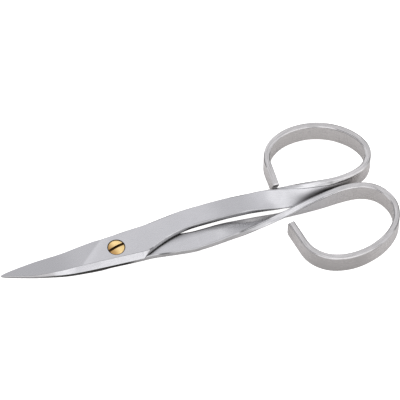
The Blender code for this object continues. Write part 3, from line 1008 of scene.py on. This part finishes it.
def slot_material(finish):
    """The screwdriver slot: near black, with dark brown spots."""
    material, nodes, shader = new_material("slot_brass")
    slot_black, slot_brown_tone, spot_scale = (0.02, 0.012, 0.008), 0.35, 2600.0
    spots = nodes.noise(nodes.stored("screw_place", "Vector"), spot_scale, 4.0, 0.6)
    slot_brown = opaque(finish.tarnish_and_shade, slot_brown_tone)
    nodes.feed(nodes.mix(spots, opaque(slot_black), slot_brown), shader, "Base Color")
    shader.inputs["Roughness"].default_value = 0.5
    nodes.lay_out()
    return material


def brass_material(finish, head):
    """Turned brass: rings about the axis, and stains of tarnish. It is painted darker round the rim
    and down one side, as painted shade.
    """
    shaded_side = (-0.90, -0.43, 0.0)
    stain_shows, rim_shade_shows, side_shade_shows, ring_shows, ring_tone = 0.2, 0.92, 0.8, 0.25, 0.82
    ring_scale, stain_scale, ring_depth = 14000.0, 1400.0, 0.000002
    roughness, stain_and_shade_roughens = 0.26, 0.2
    material, nodes, shader = new_material("turned_brass")
    place = nodes.stored("screw_place", "Vector")
    flat = nodes.vector('MULTIPLY', place, (1.0, 1.0, 0.0))
    radius = nodes.vector('LENGTH', flat, result="Value")
    rings = nodes.add("TexNoise", {"W": radius, "Scale": ring_scale, "Detail": 2.0},
                      noise_dimensions='1D').outputs["Fac"]
    lines = nodes.ramp(rings, 0.35, 0.65, 'LINEAR')
    stain = nodes.ramp(nodes.noise(place, stain_scale, 4.0, 0.6), 0.5, 0.75)
    # Painted shade round the rim and down one side of the head
    rim = nodes.ramp(radius, 0.455 * head, 0.5 * head)
    down = nodes.vector('DOT_PRODUCT', place, shaded_side, result="Value")
    side = nodes.ramp(down, -0.1 * head, 0.40 * head)
    stain_and_shade = nodes.math('MAXIMUM', nodes.times(stain, stain_shows), nodes.times(rim, rim_shade_shows))
    stain_and_shade = nodes.math('MAXIMUM', stain_and_shade, nodes.times(side, side_shade_shows))
    base = nodes.mix(nodes.times(lines, ring_shows), opaque(finish.brass),
                     opaque(finish.brass, ring_tone))
    nodes.feed(nodes.mix(stain_and_shade, base, opaque(finish.tarnish_and_shade)), shader, "Base Color")
    rough = nodes.plus(roughness, nodes.times(stain_and_shade, stain_and_shade_roughens))
    nodes.feed(rough, shader, "Roughness")
    nodes.feed(nodes.bump(lines, ring_depth), shader, "Normal")
    nodes.lay_out()
    return material


def paper_material(finish):
    """Pale paper with a faint tooth."""
    material, nodes, shader = new_material("pale_paper", metallic=0.0)
    shader.inputs["Roughness"].default_value = 0.9
    shader.inputs["Specular IOR Level"].default_value = 0.1
    shader.inputs["Emission Color"].default_value = (1.0, 1.0, 1.0, 1.0)
    tooth_scale, tooth_tone = 900.0, 0.985
    tooth = nodes.noise(nodes.add("TexCoord").outputs["Object"], tooth_scale, 3.0)
    shown = nodes.mix(tooth, opaque(finish.floor), opaque(finish.floor, tooth_tone))
    nodes.feed(shown, shader, "Base Color")
    seen = nodes.add("LightPath").outputs["Is Camera Ray"]
    glow = nodes.plus(nodes.times(seen, finish.overexposure), finish.glow)
    nodes.feed(glow, shader, "Emission Strength")
    nodes.lay_out()
    return material


# Operators

def make_half(context, face, body, node):
    """One half: its skin, the screw's bore and, in the upper half, the seat of the head."""
    settings = context.scene.scissors
    screw = settings.screw
    slots = steel_slots(settings.finish)
    shaper = Shaper(settings, face)
    piece = put_object(node + "_dressed", shaper.mesh(node + "_dressed", slots))
    top = 0.5 * settings.bar.gap + settings.bar.thickness
    reach = top + screw.head
    bore = 0.5 * screw.stem + screw.fit
    cutters = [put_object("bore", turned_mesh(
        "bore", [(0.0, -reach), (bore, -reach), (bore, reach), (0.0, reach)], slots, BORE))]
    if face > 0:
        seat = top - screw.sunk - screw.rim - screw.fit
        wide = 0.5 * screw.head + screw.fit
        broken = 0.5 * screw.sunk
        profile = [(0.0, seat), (wide, seat), (wide, top - broken), (wide + broken, top),
                   (wide + broken, reach), (0.0, reach)]
        cutters.append(put_object("seat", turned_mesh("seat", profile, slots, BORE)))
    cut_away(piece, cutters)
    mark_half(piece, shaper)
    finish_piece(piece, body, node)


class SCISSORS_OT_upper_half(bpy.types.Operator):
    """Make the upper half: blade, shank and finger loop, bored for the screw"""
    bl_idname = "scissors.upper_half"
    bl_label = "Upper Half"

    def execute(self, context):
        make_half(context, 1, "upper", "upper_half")
        return {'FINISHED'}


class SCISSORS_OT_lower_half(bpy.types.Operator):
    """Make the lower half: blade, shank and finger loop, bored for the screw"""
    bl_idname = "scissors.lower_half"
    bl_label = "Lower Half"

    def execute(self, context):
        make_half(context, -1, "lower", "lower_half")
        return {'FINISHED'}


def screw_profile(screw, foot, rim):
    """Outline of the screw from its foot to the top of its dome, as (radius, height)."""
    head = 0.5 * screw.head
    stem = 0.5 * screw.stem
    under = rim - screw.rim
    edge = screw.edge
    eased = 0.3 * edge
    profile = [(0.0, foot), (stem - edge, foot), (stem - eased, foot + eased), (stem, foot + edge),
               (stem, under), (head - 0.5 * edge, under), (head, under + 0.5 * edge),
               (head, rim - edge)]
    for i in range(1, ROUNDING_STEPS + 1):
        t = i / ROUNDING_STEPS
        angle = 0.5 * math.pi * t
        share = 1.0 - edge / head * math.sin(angle)
        profile.append((head - edge * (1.0 - math.cos(angle)),
                        rim - edge * (1.0 - math.sin(angle)) + screw.dome * (1.0 - share ** 2) * t))
    start = profile[-1][1]
    for i in range(1, DOME_STEPS + 1):
        share = 1.0 - i / DOME_STEPS
        profile.append(((head - edge) * share,
                        start + (rim + screw.dome - start) * (1.0 - share ** 2)))
    return profile


class SCISSORS_OT_pivot_screw(bpy.types.Operator):
    """Make the slotted brass screw that the halves turn on"""
    bl_idname = "scissors.pivot_screw"
    bl_label = "Pivot Screw"

    def execute(self, context):
        settings = context.scene.scissors
        screw = settings.screw
        face = 0.5 * settings.bar.gap + settings.bar.thickness
        rim = face - screw.sunk
        top = rim + screw.dome
        head = 0.5 * screw.head
        slots = [brass_material(settings.finish, screw.head), slot_material(settings.finish)]
        profile = screw_profile(screw, -face, rim)
        name = "pivot_screw_dressed"
        piece = put_object(name, turned_mesh(name, profile, slots, TURNED))
        cutter = bmesh.new()
        bmesh.ops.create_cube(cutter, size=1.0)
        depth = screw.slot_depth + head
        matrix = (Matrix.Rotation(screw.slot_angle, 4, 'Z')
                  @ Matrix.Translation((0.0, 0.0, top - screw.slot_depth + 0.5 * depth))
                  @ Matrix.Diagonal((1.5 * screw.head, screw.slot_width, depth, 1.0)))
        bmesh.ops.transform(cutter, matrix=matrix, verts=cutter.verts)
        for flat in cutter.faces:
            flat.material_index = SLOT
        cut_away(piece, [put_object("slot", finished_mesh("slot", cutter, slots))])
        store_values(piece.data, "screw_place", 'FLOAT_VECTOR',
                     [tuple(v.co) for v in piece.data.vertices])
        finish_piece(piece, "lower", "pivot_screw")
        return {'FINISHED'}


def area_light(name, toward, size, power, target):
    """Soft light that stands a metre from the target, in the direction toward."""
    light = bpy.data.lights.new(name, 'AREA')
    light.shape = 'RECTANGLE'
    light.size, light.size_y = size
    light.energy = power
    lamp = put_object(name, light)
    direction = Vector(toward).normalized()
    lamp.location = target + direction
    lamp.rotation_mode = 'QUATERNION'
    lamp.rotation_quaternion = direction.to_track_quat('Z', 'Y')
    lamp.visible_camera = False


# Soft lights: the setting of their power, the direction that they stand in, their width and depth
SOFT_LIGHTS = (
    ("top", (0.10, -0.35, 0.93), (0.9, 0.7)),
    ("front", (0.38, -0.88, 0.27), (0.8, 0.56)),
    ("back", (0.18, 0.77, 0.61), (0.5, 0.2)),
)
FLOOR_SQUARES, FLOOR_REACH = 8, 1.5
SENSOR_WIDTH = 36.0
NEAR_CLIP, FAR_CLIP = 0.01, 10.0


class SCISSORS_OT_stage(bpy.types.Operator):
    """Make the floor, the soft light and the camera"""
    bl_idname = "scissors.stage"
    bl_label = "Stage"

    def execute(self, context):
        settings = context.scene.scissors
        stage = settings.stage
        target = PIVOT + Vector(stage.target)
        floor = bmesh.new()
        bmesh.ops.create_grid(floor, x_segments=FLOOR_SQUARES, y_segments=FLOOR_SQUARES,
                              size=FLOOR_REACH)
        mesh = finished_mesh("floor", floor, [paper_material(settings.finish)])
        put_object("floor", mesh)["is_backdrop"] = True

        world = bpy.data.worlds.new("room")
        world.use_nodes = True
        nodes = Nodes(world.node_tree)
        around = nodes.add("TexCoord").outputs["Generated"]
        facing = nodes.vector('DOT_PRODUCT', around, stage.bright_side, result="Value")
        background = world.node_tree.nodes["Background"]
        nodes.feed((*stage.room, 1.0), background, "Color")
        nodes.feed(nodes.plus(facing, stage.sky), background, "Strength")
        nodes.lay_out()
        context.scene.world = world

        for name, toward, size in SOFT_LIGHTS:
            area_light(name + "_light", toward, size, getattr(stage, name), target)

        camera = bpy.data.cameras.new("camera")
        camera.lens = stage.lens
        camera.sensor_width = SENSOR_WIDTH
        camera.clip_start, camera.clip_end = NEAR_CLIP, FAR_CLIP
        across = Vector((math.cos(stage.azimuth), -math.sin(stage.azimuth), 0.0))
        back = Vector((-math.sin(stage.azimuth) * math.cos(stage.elevation),
                       -math.cos(stage.azimuth) * math.cos(stage.elevation),
                       math.sin(stage.elevation)))
        up = back.cross(across)
        rolled = across * math.cos(stage.roll) + up * math.sin(stage.roll)
        upright = back.cross(rolled)
        eye = put_object("camera", camera)
        turned = Matrix((rolled, upright, back)).transposed()
        eye.matrix_world = Matrix.Translation(target + back * stage.distance) @ turned.to_4x4()
        context.scene.camera = eye
        context.scene.view_settings.view_transform = 'Standard'
        return {'FINISHED'}


OPERATORS = (SCISSORS_OT_lower_half, SCISSORS_OT_upper_half, SCISSORS_OT_pivot_screw,
             SCISSORS_OT_stage)


class SCISSORS_PT_panel(bpy.types.Panel):
    """Sizes, colours and the steps that make the scissors"""
    bl_idname = "SCISSORS_PT_panel"
    bl_label = "Nail Scissors"
    bl_space_type = 'VIEW_3D'
    bl_region_type = 'UI'
    bl_category = "Scissors"

    def draw(self, context):
        layout = self.layout
        for operator in OPERATORS:
            layout.operator(operator.bl_idname)
        for name in ("bar", "blade", "upper_loop", "lower_loop", "screw", "finish", "stage"):
            group = getattr(context.scene.scissors, name)
            box = layout.box()
            box.label(text=name.replace("_", " ").capitalize())
            for key in group.__annotations__:
                box.prop(group, key)


CLASSES = (ScissorsBar, ScissorsBlade, ScissorsLoop, ScissorsScrew, ScissorsFinish, ScissorsStage,
           ScissorsSettings, *OPERATORS, SCISSORS_PT_panel)


def register():
    for item in CLASSES:
        bpy.utils.register_class(item)
    bpy.types.Scene.scissors = bpy.props.PointerProperty(type=ScissorsSettings)


def unregister():
    del bpy.types.Scene.scissors
    for item in reversed(CLASSES):
        bpy.utils.unregister_class(item)


def main():
    register()
    for name, value in LOWER_LOOP.items():
        setattr(bpy.context.scene.scissors.lower_loop, name, value)
    bpy.ops.scissors.lower_half()
    bpy.ops.scissors.upper_half()
    bpy.ops.scissors.pivot_screw()
    bpy.ops.scissors.stage()
    boxes = [[list(corner) for corner in box] for box in (CAD_BOX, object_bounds())]


if __name__ == "__main__":
    main()
